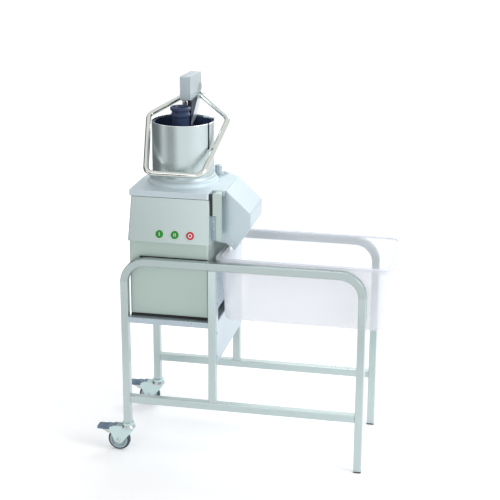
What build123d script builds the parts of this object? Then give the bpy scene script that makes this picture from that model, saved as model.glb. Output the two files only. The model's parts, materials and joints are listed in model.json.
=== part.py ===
"""Floor-standing vegetable cutting machine: a motor base with cutting chamber, lid, hopper and
lever-operated pusher, on a bent-tube stand with two braked casters and a collecting tub.

Millimetres. +Z up, the front with the buttons faces -Y, the tub end is +X.
The origin is on the floor, under the middle of the whole machine.
"""
import os
from math import atan2, cos, degrees, hypot, radians, sin, tan

from build123d import *

os.makedirs("parts", exist_ok=True)

# Stand of bent square tube
STAND_LENGTH = 790.0
STAND_WIDTH = 396.0
TUBE = 25.0
TUBE_WALL = 1.5
LEFT = -389.0
RIGHT = LEFT + STAND_LENGTH
LEG_Y = (STAND_WIDTH - TUBE) / 2
RAIL_TOP = 676.0
BEND_RADIUS = 72.0
CASTER_LEG_END = 100.0
CAP_HEIGHT = 5.0
LOWER_RAIL_TOP = 200.0
POST_X = -101.0
SHELF_TOP = 475.0
SHELF_FLANGE = 18.0
SHEET = 2.0
PLATE_BOTTOM = 336.0
PLATE_HEIGHT = 314.0

# Casters
WHEEL_RADIUS = 37.5
CASTER_X = LEFT + TUBE / 2
TRAIL = 31.5
AXLE_RADIUS = 4.0

# Motor base
BASE_LENGTH = 257.5
BASE_X = -234.25
BASE_DEPTH = 330.0
BASE_Y = -5.0
FOOT_HEIGHT = 6.0
BASE_BOTTOM = 484.0
HOUSING_BOTTOM = 733.0
HOUSING_TOP = 869.0

# Cutting axis, shared by the motor, discs, hopper and pusher
AXIS_X = -226.0
SHAFT_RADIUS = 12.5
HUB_RADIUS = 10.0
RUNNING_GAP = 0.05
BOWL_RADIUS = 108.0
BOWL_FLOOR = 770.0
DISC_RADIUS = 97.0
DISC_TOP = 860.0
BLADE_TURNS = (0, 120, 240)

# Upper housing, with the sloping control panel
HOUSING_LEFT = -361.0
HOUSING_RIGHT = -98.5
DRAFT_LEFT = 3.5
DRAFT_RIGHT = 5.7
HOUSING_FRONT = -193.0
PANEL_SETBACK = 35.6
HOUSING_BACK = 150.0
CORNER = 124.0
BUTTON_XS = (-258.5, -208.7, -159.0)
BUTTON_RISE = 26.7
BUTTON_RADIUS = 12.5

# Discharge hood
HOOD_FRONT = -105.0
HOOD_DEPTH = 190.0
HOOD_WALL = 4.0

# Lid and hopper
LID_BOTTOM = 871.0
LID_TOP = 890.0
LID_LEFT = -364.0
LID_RIGHT = -64.0
LID_STEP_X = -106.5
LID_FRONT = -159.0
LID_STEP_FRONT = -108.0
LID_ARC_X = -205.0
LID_BACK = 159.0
HINGE_Y = 172.0
HOPPER_RADIUS = 100.0
HOPPER_WALL = 1.5
HOPPER_TOP = 1086.0
SLOT_ANGLE = -22.0
SLOT_WIDTH = 5.0
SLOT_BOTTOM = 1003.0
KNOB_X = AXIS_X + 100.0
KNOB_Y = 70.0
KNOB_RADIUS = 11.5
KNOB_BOTTOM = 900.0

# Guide column and pusher head
COLUMN_Y = 130.0
ROD_RADIUS = 9.0
SLEEVE_RADIUS = 12.5
SLEEVE_TOP = 1195.0
HEAD_WIDTH = 34.0
HEAD_FRONT = 30.0
HEAD_BACK = 177.0
HEAD_BOTTOM = 1143.0
HEAD_TOP = 1221.0
LOOP_Y = 152.0
LOOP_Z = 1140.0
LOOP_SLOPE = atan2(202.0, 277.0)
LOOP_TUBE = 9.0
CUP_RADIUS = 95.5
CUP_BOTTOM = 867.0
CUP_TOP = 1083.0
FEED_TUBE_X = AXIS_X - 8.0
FEED_TUBE_RADIUS = 28.0
FEED_BORE = 24.0
FEED_TUBE_TOP = 1130.0

# Tub
TUB_LEFT = -84.0
TUB_LENGTH = 564.0
TUB_WIDTH = 359.0
TUB_RIM = 12.0
TUB_TOP = 685.3
TUB_DEPTH = 213.0
TUB_WALL = 3.0
TUB_TAPER = 3.7

pieces = []


def front_on(y):
    """Upright plane at depth y, seen from the front: local x is X, local y is Z."""
    return Plane(origin=(0, y, 0), x_dir=(1, 0, 0), z_dir=(0, -1, 0))


def side_on(x):
    """Upright plane at length x, seen from the tub end: local x is Y, local y is Z."""
    return Plane(origin=(x, 0, 0), x_dir=(0, 1, 0), z_dir=(1, 0, 0))


def level(z, x=0.0, y=0.0):
    """Level plane at height z with its origin over x, y."""
    return Plane(origin=(x, y, z), x_dir=(1, 0, 0), z_dir=(0, 0, 1))


def axis_level(z):
    """Level plane centred on the cutting axis."""
    return level(z, AXIS_X, 0)


def right_wall(z):
    """Length at which the drafted right-hand wall of the upper housing stands at height z."""
    return HOUSING_RIGHT - DRAFT_RIGHT * (z - HOUSING_BOTTOM) / (HOUSING_TOP - HOUSING_BOTTOM)


def keep(piece, name):
    """Names a finished piece and notes it for export."""
    piece.part.label = name
    pieces.append(piece.part)


# Stand: each side is one bent square tube, left leg, top rail and right leg
rail_z = RAIL_TOP - TUBE / 2
leg_left = LEFT + TUBE / 2
leg_right = RIGHT - TUBE / 2
for side, y in (("front", -LEG_Y), ("rear", LEG_Y)):
    with BuildPart() as side_frame:
        with BuildLine(front_on(y)) as run:
            FilletPolyline(
                (leg_left, CASTER_LEG_END),
                (leg_left, rail_z),
                (leg_right, rail_z),
                (leg_right, CAP_HEIGHT),
                radius=BEND_RADIUS,
            )
        with BuildSketch(level(CASTER_LEG_END, leg_left, y)):
            RectangleRounded(TUBE, TUBE, 2.5)
            RectangleRounded(TUBE - 2 * TUBE_WALL, TUBE - 2 * TUBE_WALL, 1, mode=Mode.SUBTRACT)
        sweep(path=run.wires()[0])
    keep(side_frame, f"{side}_side_frame")

with BuildPart() as lower_rails:
    with BuildSketch(side_on(LEFT + TUBE)):
        with Locations((-LEG_Y, LOWER_RAIL_TOP - TUBE / 2), (LEG_Y, LOWER_RAIL_TOP - TUBE / 2)):
            RectangleRounded(TUBE, TUBE, 2.5)
            RectangleRounded(TUBE - 2 * TUBE_WALL, TUBE - 2 * TUBE_WALL, 1, mode=Mode.SUBTRACT)
    extrude(amount=STAND_LENGTH - 2 * TUBE)
keep(lower_rails, "lower_rails")

with BuildPart() as mid_posts:
    with BuildSketch(level(LOWER_RAIL_TOP, POST_X + TUBE / 2, 0)):
        with Locations((0, -LEG_Y), (0, LEG_Y)):
            RectangleRounded(TUBE, TUBE, 2.5)
            RectangleRounded(TUBE - 2 * TUBE_WALL, TUBE - 2 * TUBE_WALL, 1, mode=Mode.SUBTRACT)
    extrude(amount=RAIL_TOP - TUBE - LOWER_RAIL_TOP)
keep(mid_posts, "mid_posts")

# Shelf under the motor base: folded sheet between the left legs and the mid posts
with BuildPart() as machine_shelf:
    shelf_length = POST_X - (LEFT + TUBE)
    with BuildSketch(side_on(LEFT + TUBE)):
        with Locations((0, SHELF_TOP - SHELF_FLANGE / 2)):
            Rectangle(STAND_WIDTH - 4, SHELF_FLANGE)
        with Locations((0, SHELF_TOP - SHELF_FLANGE / 2 - SHEET)):
            Rectangle(STAND_WIDTH - 4 - 2 * SHEET, SHELF_FLANGE, mode=Mode.SUBTRACT)
    extrude(amount=shelf_length)
    bends = machine_shelf.edges().filter_by(Axis.X).group_by(Axis.Z)[-1]
    fillet(bends, 1.5)
    # tongue between the mid posts, up to the side plate
    with BuildSketch(level(SHELF_TOP - SHEET, POST_X + TUBE / 2, 0)):
        Rectangle(TUBE, STAND_WIDTH - 2 * TUBE - 1)
    extrude(amount=SHEET)
keep(machine_shelf, "machine_shelf")

# Side plate between the mid posts, with its rectangular window
with BuildPart() as side_plate:
    with BuildSketch(side_on(POST_X + TUBE)):
        with Locations((0, PLATE_BOTTOM + PLATE_HEIGHT / 2)):
            RectangleRounded(STAND_WIDTH - 10, PLATE_HEIGHT, 6)
        with Locations((-119.5, 495.5)):
            RectangleRounded(99, 47, 8, mode=Mode.SUBTRACT)
    extrude(amount=SHEET)
keep(side_plate, "side_plate")

# Plastic caps that close the feet of the two legs without casters
with BuildPart() as leg_end_caps:
    with BuildSketch(level(0)):
        with Locations((leg_right, -LEG_Y), (leg_right, LEG_Y)):
            RectangleRounded(TUBE, TUBE, 2.5)
    extrude(amount=CAP_HEIGHT)
    with BuildSketch(level(CAP_HEIGHT)):
        with Locations((leg_right, -LEG_Y), (leg_right, LEG_Y)):
            RectangleRounded(TUBE - 2 * TUBE_WALL, TUBE - 2 * TUBE_WALL, 1)
    extrude(amount=12)
    chamfer(leg_end_caps.edges().group_by(Axis.Z)[0], 0.8)
keep(leg_end_caps, "leg_end_caps")

# Casters under the left legs: stem, fork, axle, wheel, tyre and brake pedal
wheel_x = CASTER_X - TRAIL
for side, y in (("front", -LEG_Y), ("rear", LEG_Y)):
    with BuildPart() as caster_stem:
        with BuildSketch(front_on(y)):
            with BuildLine():
                Polyline(
                    (CASTER_X, 84.5),
                    (CASTER_X + 9, 84.5),
                    (CASTER_X + 9, 86),
                    (CASTER_X + 6, 86),
                    (CASTER_X + 6, 95),
                    (CASTER_X + 20, 95),
                    (CASTER_X + 20, CASTER_LEG_END),
                    (CASTER_X + 10.5, CASTER_LEG_END),
                    (CASTER_X + 10.5, 136),
                    (CASTER_X + 8, 140),
                    (CASTER_X, 140),
                    close=True,
                )
            make_face()
        revolve(axis=Axis((CASTER_X, y, 0), (0, 0, 1)))
    keep(caster_stem, f"{side}_caster_stem")

    with BuildPart() as caster_fork:
        # pressed head with the ball race
        with BuildSketch(front_on(y)):
            with BuildLine():
                Polyline(
                    (CASTER_X + 6.05, 86.4),
                    (CASTER_X + 15, 86.4),
                    (CASTER_X + 21, 82),
                    (CASTER_X + 23.5, 82),
                    (CASTER_X + 23.5, 86),
                    (CASTER_X + 18, 91),
                    (CASTER_X + 18, 94.5),
                    (CASTER_X + 6.05, 94.5),
                    close=True,
                )
            make_face()
        revolve(axis=Axis((CASTER_X, y, 0), (0, 0, 1)))
        # two cheeks that run down and back to the axle
        with BuildSketch(front_on(y - 14)):
            with BuildLine():
                Polyline(
                    (CASTER_X + 19, 88),
                    (CASTER_X + 20, 78),
                    (wheel_x + 13, 30),
                    (wheel_x, 25.5),
                    (wheel_x - 12, 32),
                    (wheel_x - 30, 72),
                    (wheel_x - 30, 82),
                    (wheel_x - 16, 88),
                    close=True,
                )
            make_face()
            with Locations((wheel_x, WHEEL_RADIUS), (wheel_x - 12, 79)):
                Circle(AXLE_RADIUS, mode=Mode.SUBTRACT)
        extrude(amount=2.5)
        mirror(about=Plane.XZ.offset(-y))
        # top web that joins the cheeks
        with BuildSketch(front_on(y + 14)):
            with BuildLine():
                Polyline(
                    (CASTER_X - 17, 86),
                    (wheel_x - 8, 86),
                    (wheel_x - 8, 88),
                    (CASTER_X - 17, 90),
                    close=True,
                )
            make_face()
        extrude(amount=28)
    keep(caster_fork, f"{side}_caster_fork")

    with BuildPart() as caster_wheel:
        with BuildSketch(level(WHEEL_RADIUS, wheel_x, y)):
            with BuildLine():
                Polyline(
                    (AXLE_RADIUS + RUNNING_GAP, -13),
                    (11, -13),
                    (12, -5),
                    (24, -5),
                    (25, -10),
                    (30, -10),
                    (30, 10),
                    (25, 10),
                    (24, 5),
                    (12, 5),
                    (11, 13),
                    (AXLE_RADIUS + RUNNING_GAP, 13),
                    close=True,
                )
            make_face()
        revolve(axis=Axis((wheel_x, y, WHEEL_RADIUS), (0, 1, 0)))
    keep(caster_wheel, f"{side}_caster_wheel")

    with BuildPart() as caster_tyre:
        with BuildSketch(level(WHEEL_RADIUS, wheel_x, y)):
            with BuildLine():
                Line((30, -10), (30, 10))
                Line((30, 10), (34, 11.5))
                ThreePointArc((34, 11.5), (WHEEL_RADIUS, 0), (34, -11.5))
                Line((34, -11.5), (30, -10))
            make_face()
        revolve(axis=Axis((wheel_x, y, WHEEL_RADIUS), (0, 1, 0)))
    keep(caster_tyre, f"{side}_caster_tyre")

    with BuildPart() as brake_pedal:
        pedal_x = wheel_x - 12
        pedal_z = 79.0
        with BuildSketch(front_on(y - 13.2)):
            with BuildLine():
                Polyline(
                    (pedal_x + 6, pedal_z + 2),
                    (pedal_x - 1, pedal_z + 6),
                    (pedal_x - 22, pedal_z + 8),
                    (pedal_x - 40, pedal_z + 4),
                    (pedal_x - 59, pedal_z + 3),
                    (pedal_x - 60, pedal_z - 4),
                    (pedal_x - 40, pedal_z - 8),
                    (pedal_x - 28, pedal_z - 16),
                    (pedal_x - 24, pedal_z - 16),
                    (pedal_x - 12, pedal_z - 6),
                    (pedal_x + 6, pedal_z - 3),
                    close=True,
                )
            make_face()
            with Locations((pedal_x, pedal_z)):
                Circle(AXLE_RADIUS + RUNNING_GAP, mode=Mode.SUBTRACT)
        extrude(amount=-26.4)
        # wider tread outside the fork
        with BuildSketch(level(pedal_z - 4, pedal_x - 47, y)):
            RectangleRounded(26, 38, 5)
        extrude(amount=7)
    keep(brake_pedal, f"{side}_brake_pedal")

    # wheel axle with its hexagon head and nut, and the pin under the pedal
    with BuildPart() as caster_bolts:
        with BuildSketch(front_on(y - 17.5)):
            with Locations((wheel_x, WHEEL_RADIUS), (pedal_x, pedal_z)):
                Circle(AXLE_RADIUS)
        extrude(amount=-35)
        for nut_y, thick in ((y - 16.5, 4), (y + 16.5, -5)):
            with BuildSketch(front_on(nut_y)):
                with Locations((wheel_x, WHEEL_RADIUS)):
                    RegularPolygon(7.5, 6)
            extrude(amount=thick)
    keep(caster_bolts, f"{side}_caster_bolts")

# Motor base: rubber feet, base plate and wrapped stainless housing
with BuildPart() as rubber_feet:
    with BuildSketch(level(SHELF_TOP, BASE_X, BASE_Y)):
        with GridLocations(BASE_LENGTH - 42, BASE_DEPTH - 32, 2, 2):
            RectangleRounded(36, 26, 6)
    extrude(amount=FOOT_HEIGHT)
    chamfer(rubber_feet.edges().group_by(Axis.Z)[0], 1)
keep(rubber_feet, "rubber_feet")

with BuildPart() as base_plate:
    with BuildSketch(level(SHELF_TOP + FOOT_HEIGHT, BASE_X, BASE_Y)):
        RectangleRounded(BASE_LENGTH - 4, BASE_DEPTH - 4, 5)
    extrude(amount=BASE_BOTTOM - SHELF_TOP - FOOT_HEIGHT)
    with BuildSketch(level(BASE_BOTTOM, AXIS_X, 0)):
        with PolarLocations(70, 6):
            SlotOverall(60, 8, 90)
    extrude(amount=-10, mode=Mode.SUBTRACT)
keep(base_plate, "base_plate")

with BuildPart() as motor_housing:
    with BuildSketch(level(BASE_BOTTOM, BASE_X, BASE_Y)):
        RectangleRounded(BASE_LENGTH, BASE_DEPTH, 6)
        RectangleRounded(BASE_LENGTH - 2 * SHEET, BASE_DEPTH - 2 * SHEET, 4, mode=Mode.SUBTRACT)
    extrude(amount=HOUSING_BOTTOM - BASE_BOTTOM)
    # top sheet with the round hole that the motor hangs through
    with BuildSketch(level(HOUSING_BOTTOM - SHEET, BASE_X, BASE_Y)):
        RectangleRounded(BASE_LENGTH, BASE_DEPTH, 6)
        with Locations((AXIS_X - BASE_X, -BASE_Y)):
            Circle(97, mode=Mode.SUBTRACT)
        with Locations((0, -137)):
            SlotOverall(120, 12, mode=Mode.SUBTRACT)
    extrude(amount=SHEET)
keep(motor_housing, "motor_housing")

# Motor: finned stator, end bells, bearings, rotor and shaft, hung under the bowl floor
with BuildPart() as motor_stator:
    with BuildSketch(axis_level(570)):
        Circle(84)
        with PolarLocations(84, 24):
            Rectangle(8, 3)
        Circle(56, mode=Mode.SUBTRACT)
    extrude(amount=130)
keep(motor_stator, "motor_stator")

with BuildPart() as lower_end_bell:
    with BuildSketch(front_on(0)):
        with BuildLine():
            Polyline(
                (AXIS_X + 26, 540),
                (AXIS_X + 32, 536),
                (AXIS_X + 40, 536),
                (AXIS_X + 84, 556),
                (AXIS_X + 84, 570),
                (AXIS_X + 72, 570),
                (AXIS_X + 72, 562),
                (AXIS_X + 26, 553),
                close=True,
            )
        make_face()
    revolve(axis=Axis((AXIS_X, 0, 0), (0, 0, 1)))
keep(lower_end_bell, "lower_end_bell")

with BuildPart() as upper_end_bell:
    with BuildSketch(front_on(0)):
        with BuildLine():
            Polyline(
                (AXIS_X + 26, 735),
                (AXIS_X + 72, 712),
                (AXIS_X + 72, 700),
                (AXIS_X + 84, 700),
                (AXIS_X + 84, 718),
                (AXIS_X + 94, 752),
                (AXIS_X + 94, 762),
                (AXIS_X + 26, 762),
                close=True,
            )
        make_face()
    revolve(axis=Axis((AXIS_X, 0, 0), (0, 0, 1)))
keep(upper_end_bell, "upper_end_bell")

with BuildPart() as shaft_bearings:
    for z in (540, 745):
        with BuildSketch(axis_level(z)):
            Circle(26)
            Circle(SHAFT_RADIUS + RUNNING_GAP, mode=Mode.SUBTRACT)
        extrude(amount=13)
    chamfer(shaft_bearings.edges().filter_by(GeomType.CIRCLE), 0.8)
keep(shaft_bearings, "shaft_bearings")

with BuildPart() as motor_rotor:
    with BuildSketch(axis_level(580)):
        Circle(55)
        Circle(SHAFT_RADIUS, mode=Mode.SUBTRACT)
        with PolarLocations(46, 16):
            Circle(3.5, mode=Mode.SUBTRACT)
    extrude(amount=110)
keep(motor_rotor, "motor_rotor")

with BuildPart() as drive_shaft:
    with BuildSketch(axis_level(538)):
        Circle(SHAFT_RADIUS)
    extrude(amount=792 - 538)
    with BuildSketch(axis_level(792)):
        Circle(HUB_RADIUS)
        with Locations((HUB_RADIUS + 2, 0)):
            Rectangle(7, 40, mode=Mode.SUBTRACT)
    extrude(amount=66)
    chamfer(drive_shaft.edges().group_by(Axis.Z)[0], 1)
keep(drive_shaft, "drive_shaft")

with BuildPart() as shaft_seal:
    with BuildSketch(axis_level(BOWL_FLOOR + 2)):
        Circle(18)
        Circle(SHAFT_RADIUS + RUNNING_GAP, mode=Mode.SUBTRACT)
    extrude(amount=10)
    with BuildSketch(axis_level(BOWL_FLOOR + 12)):
        Circle(20)
        Circle(SHAFT_RADIUS + RUNNING_GAP, mode=Mode.SUBTRACT)
    extrude(amount=3)
keep(shaft_seal, "shaft_seal")

# Upper housing: casting with the sloping panel, the bowl and the outlet to the hood
panel_angle = atan2(PANEL_SETBACK, HOUSING_TOP - HOUSING_BOTTOM)
panel = Plane(
    origin=(0, HOUSING_FRONT, HOUSING_BOTTOM),
    x_dir=(1, 0, 0),
    z_dir=(0, -cos(panel_angle), sin(panel_angle)),
)
housing_width = HOUSING_RIGHT - HOUSING_LEFT
panel_wall = 4.0
with BuildPart() as upper_housing:
    # both sides lean in a little towards the top
    with BuildSketch(front_on(HOUSING_FRONT)):
        with BuildLine():
            Polyline(
                (HOUSING_LEFT, HOUSING_BOTTOM),
                (HOUSING_RIGHT, HOUSING_BOTTOM),
                (right_wall(HOUSING_TOP), HOUSING_TOP),
                (HOUSING_LEFT + DRAFT_LEFT, HOUSING_TOP),
                close=True,
            )
        make_face()
    extrude(amount=-(HOUSING_BACK - HOUSING_FRONT))
    back_face = upper_housing.faces().sort_by(Axis.Y)[-1]
    fillet(back_face.edges().filter_by(Axis.X, reverse=True), CORNER)
    split(bisect_by=panel, keep=Keep.BOTTOM)
    panel_face = upper_housing.faces().sort_by(Axis.Y)[0]
    fillet(panel_face.edges().filter_by(Axis.X, reverse=True), 4)
    # bowl
    with BuildSketch(axis_level(BOWL_FLOOR)):
        Circle(BOWL_RADIUS)
    extrude(amount=HOUSING_TOP - BOWL_FLOOR, mode=Mode.SUBTRACT)
    with BuildSketch(axis_level(BOWL_FLOOR)):
        Circle(26)
    extrude(amount=12)
    # outlet from the bowl through the right-hand wall
    with BuildSketch(side_on(HOUSING_RIGHT)):
        with BuildLine():
            Polyline(
                (HOOD_FRONT + 12, BOWL_FLOOR),
                (HOOD_FRONT + HOOD_DEPTH - 12, BOWL_FLOOR),
                (HOOD_FRONT + HOOD_DEPTH - 12, HOUSING_TOP - 8),
                (HOOD_FRONT + 12, HOUSING_TOP - 8),
                close=True,
            )
        make_face()
    extrude(amount=-(HOUSING_RIGHT - AXIS_X), mode=Mode.SUBTRACT)
    with BuildSketch(axis_level(BOWL_FLOOR)):
        Circle(26)
    extrude(amount=12)
    # motor well, open below
    with BuildSketch(axis_level(HOUSING_BOTTOM)):
        Circle(97)
    extrude(amount=762 - HOUSING_BOTTOM, mode=Mode.SUBTRACT)
    with BuildSketch(axis_level(762)):
        Circle(18)
    extrude(amount=30, mode=Mode.SUBTRACT)
    # control compartment behind the panel, with its way down for the wires
    with BuildSketch(side_on(HOUSING_LEFT + DRAFT_LEFT + 5)):
        with BuildLine():
            Polyline(
                (HOUSING_FRONT + panel_wall + 1, HOUSING_BOTTOM + 4),
                (HOUSING_FRONT + panel_wall + PANEL_SETBACK * 0.92, HOUSING_TOP - 11),
                (-BOWL_RADIUS - 6, HOUSING_TOP - 11),
                (-BOWL_RADIUS - 6, HOUSING_BOTTOM + 4),
                close=True,
            )
        make_face()
    extrude(amount=housing_width - DRAFT_LEFT - DRAFT_RIGHT - 10, mode=Mode.SUBTRACT)
    with BuildSketch(level(HOUSING_BOTTOM, BASE_X, -142)):
        SlotOverall(120, 12)
    extrude(amount=4, mode=Mode.SUBTRACT)
    # button holes
    with BuildSketch(panel):
        with Locations([(x, BUTTON_RISE) for x in BUTTON_XS]):
            Circle(BUTTON_RADIUS + 2)
    extrude(amount=-12, mode=Mode.SUBTRACT)
keep(upper_housing, "upper_housing")

# Push buttons in their bezels, with the switch block behind them
with BuildPart() as button_bezels:
    with BuildSketch(panel):
        with Locations([(x, BUTTON_RISE) for x in BUTTON_XS]):
            Circle(BUTTON_RADIUS + 2)
            Circle(BUTTON_RADIUS + 0.4, mode=Mode.SUBTRACT)
    extrude(amount=-14)
    with BuildSketch(panel):
        with Locations([(x, BUTTON_RISE) for x in BUTTON_XS]):
            Circle(BUTTON_RADIUS + 4)
            Circle(BUTTON_RADIUS + 0.4, mode=Mode.SUBTRACT)
    extrude(amount=1.2)
keep(button_bezels, "button_bezels")

for name, x in zip(("start_button_1", "start_button_2", "stop_button"), BUTTON_XS):
    with BuildPart() as button:
        with BuildSketch(panel.offset(-8)):
            with Locations((x, BUTTON_RISE)):
                Circle(BUTTON_RADIUS)
        extrude(amount=9.6)
        face_edge = button.edges().filter_by(GeomType.CIRCLE).sort_by(Axis.Y)[0]
        fillet(face_edge, 0.8)
    keep(button, name)

with BuildPart() as switch_block:
    with BuildSketch(panel.offset(-14)):
        with Locations((BUTTON_XS[1], BUTTON_RISE)):
            RectangleRounded(140, 25, 3)
    extrude(amount=-20)
keep(switch_block, "switch_block")

# Ejector disc and slicing disc on the shaft
with BuildPart() as ejector_disc:
    with BuildSketch(axis_level(788)):
        Circle(100)
        Circle(SHAFT_RADIUS, mode=Mode.SUBTRACT)
    extrude(amount=4)
    with BuildSketch(axis_level(792)):
        Circle(20)
        Circle(HUB_RADIUS, mode=Mode.SUBTRACT)
    extrude(amount=14)
    with BuildSketch(axis_level(792)):
        with PolarLocations(0, 2):
            with Locations((58, 0)):
                SlotOverall(80, 5)
    extrude(amount=14)
keep(ejector_disc, "ejector_disc")

with BuildPart() as slicing_disc:
    with BuildSketch(axis_level(DISC_TOP - 4)):
        Circle(DISC_RADIUS)
        Circle(HUB_RADIUS, mode=Mode.SUBTRACT)
    extrude(amount=4)
    # curved throat ahead of each blade
    for turn in BLADE_TURNS:
        with BuildSketch(axis_level(DISC_TOP - 4).rotated((0, 0, turn))):
            with BuildLine():
                ThreePointArc((24, 0), (60, 14), (92, 12))
                Line((92, 12), (90, -3))
                ThreePointArc((90, -3), (58, -1), (24, -12))
                Line((24, -12), (24, 0))
            make_face()
        extrude(amount=4, mode=Mode.SUBTRACT)
    # hub tube that stands on the ejector disc, and turned rim
    with BuildSketch(axis_level(806)):
        Circle(16)
        Circle(HUB_RADIUS, mode=Mode.SUBTRACT)
    extrude(amount=DISC_TOP - 810)
    with BuildSketch(axis_level(DISC_TOP - 10)):
        Circle(DISC_RADIUS)
        Circle(DISC_RADIUS - 3, mode=Mode.SUBTRACT)
    extrude(amount=6)
keep(slicing_disc, "slicing_disc")

with BuildPart() as slicing_blades:
    # each blade is a thin curved wedge along its throat
    for turn in BLADE_TURNS:
        with BuildSketch(axis_level(DISC_TOP).rotated((0, 0, turn))):
            with BuildLine():
                ThreePointArc((26, 4), (60, 18), (92, 16))
                Line((92, 16), (91, 4))
                ThreePointArc((91, 4), (58, 7), (26, -4))
                Line((26, -4), (26, 4))
            make_face()
        extrude(amount=1.6)
    chamfer(slicing_blades.faces().filter_by(Axis.Z).group_by(Axis.Z)[-1].edges(), 0.7)
keep(slicing_blades, "slicing_blades")

with BuildPart() as disc_cap:
    with BuildSketch(axis_level(DISC_TOP)):
        Circle(18)
    extrude(amount=2.4)
    chamfer(disc_cap.edges().group_by(Axis.Z)[-1], 1)
keep(disc_cap, "disc_cap")

# Discharge hood: cast elbow that turns the cut product down into the tub
hood_outline = (
    (right_wall(733), 733),
    (right_wall(HOUSING_TOP), HOUSING_TOP),
    (LID_RIGHT + 1.5, HOUSING_TOP),
    (LID_RIGHT + 1.5, 889),
    (LID_RIGHT + 2.5, 889),
    (15, 819),
    (17, 814),
    (17, 768),
    (-33, 697),
    (-62, 717),
    (-95, 721),
)
hood_cavity = (
    (right_wall(766), 766),
    (right_wall(865), 865),
    (-43, 865),
    (12, 815),
    (13, 812),
    (13, 769),
    (-34, 702),
    (-70, 690),
    (-91, 700),
    (-90, 766),
)
with BuildPart() as discharge_hood:
    with BuildSketch(front_on(HOOD_FRONT)):
        with BuildLine():
            Polyline(*hood_outline, close=True)
        make_face()
    extrude(amount=-HOOD_DEPTH)
    outer_edges = discharge_hood.edges().filter_by(Axis.Y).group_by(Axis.X)[-1]
    fillet(outer_edges, 3)
    with BuildSketch(front_on(HOOD_FRONT + HOOD_WALL)):
        with BuildLine():
            Polyline(*hood_cavity, close=True)
        make_face()
    extrude(amount=-(HOOD_DEPTH - 2 * HOOD_WALL), mode=Mode.SUBTRACT)
keep(discharge_hood, "discharge_hood")

# Lid latch: bracket on the housing, pin and lever
with BuildPart() as latch_bracket:
    with BuildSketch(front_on(HOOD_FRONT)):
        with BuildLine():
            Polyline(
                (right_wall(737), 737),
                (-84, 737),
                (-84, 815),
                (right_wall(815), 815),
                close=True,
            )
        make_face()
    extrude(amount=44)
    with BuildSketch(side_on(HOUSING_RIGHT - DRAFT_RIGHT)):
        with Locations((-139, 752)):
            Circle(AXLE_RADIUS)
    extrude(amount=30, mode=Mode.SUBTRACT)
keep(latch_bracket, "latch_bracket")

with BuildPart() as latch_pin:
    with BuildSketch(side_on(-98)):
        with Locations((-139, 752)):
            Circle(AXLE_RADIUS)
    extrude(amount=34)
keep(latch_pin, "latch_pin")

with BuildPart() as latch_lever:
    with BuildSketch(front_on(-145)):
        with BuildLine():
            Polyline(
                (-83, 740),
                (-66, 740),
                (-66, 892),
                (-94, 892),
                (-94, 818),
                (-83, 818),
                close=True,
            )
        make_face()
    extrude(amount=9)
    fillet(latch_lever.edges().filter_by(Axis.Y).group_by(Axis.Z)[-1], 5)
    # barrel round the pin and nose that reaches the lid's edge
    with BuildSketch(side_on(-83)):
        with Locations((-139, 752)):
            Circle(10)
    extrude(amount=17)
    with BuildSketch(side_on(-83)):
        with Locations((-139, 752)):
            Circle(AXLE_RADIUS + RUNNING_GAP)
    extrude(amount=17, mode=Mode.SUBTRACT)
    with BuildSketch(side_on(-90)):
        with Locations((-128, 881)):
            Rectangle(36, 14)
    extrude(amount=18)
keep(latch_lever, "latch_lever")

# Lid: flat casting with the hopper bore, column socket and hinge lugs
with BuildPart() as lid:
    with BuildSketch(level(LID_BOTTOM)) as lid_plan:
        with BuildLine():
            Polyline(
                (LID_LEFT, 0),
                (LID_LEFT, LID_FRONT),
                (LID_STEP_X, LID_FRONT),
                (LID_STEP_X, LID_STEP_FRONT),
                (LID_RIGHT, LID_STEP_FRONT),
                (LID_RIGHT, 85),
            )
            ThreePointArc((LID_RIGHT, 85), (-125.4, 139.4), (LID_ARC_X, LID_BACK))
            ThreePointArc((LID_ARC_X, LID_BACK), (-317.4, 112.4), (LID_LEFT, 0))
        make_face()
        fillet(lid_plan.vertices().group_by(Axis.Y)[0], 6)
    extrude(amount=LID_TOP - LID_BOTTOM)
    fillet(lid.edges().group_by(Axis.Z)[-1], 1.5)
    # raised ring under the hopper collar
    with BuildSketch(axis_level(LID_TOP)):
        Circle(117)
    extrude(amount=7, taper=30)
    # socket for the guide column
    with BuildSketch(level(LID_TOP, AXIS_X, COLUMN_Y)):
        Circle(18)
    extrude(amount=25, taper=4)
    # lugs round the hinge pin
    with BuildSketch(side_on(AXIS_X)) as lug_profile:
        with BuildLine():
            Polyline(
                (LID_BACK - 41, LID_BOTTOM + 4),
                (HINGE_Y, LID_BOTTOM),
                (HINGE_Y + 8, LID_BOTTOM + 8),
                (HINGE_Y, LID_TOP - 3),
                (LID_BACK - 41, LID_TOP - 3),
                close=True,
            )
        make_face()
        with Locations((HINGE_Y, LID_BOTTOM + 8)):
            Circle(8)
    for lug_x in (-70, 45):
        extrude(lug_profile.sketch.moved(Location((lug_x, 0, 0))), amount=25)
    # spigot that enters the bowl
    with BuildSketch(axis_level(LID_BOTTOM)):
        Circle(105)
    extrude(amount=-5)
    with BuildSketch(axis_level(LID_BOTTOM - 5)):
        Circle(HOPPER_RADIUS)
    extrude(amount=50, mode=Mode.SUBTRACT)
    with BuildSketch(level(LID_TOP, AXIS_X, COLUMN_Y)):
        Circle(SLEEVE_RADIUS)
    extrude(amount=40, mode=Mode.SUBTRACT)
    with BuildSketch(side_on(AXIS_X - 90)):
        with Locations((HINGE_Y, LID_BOTTOM + 8)):
            Circle(AXLE_RADIUS)
    extrude(amount=180, mode=Mode.SUBTRACT)
keep(lid, "lid")

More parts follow.
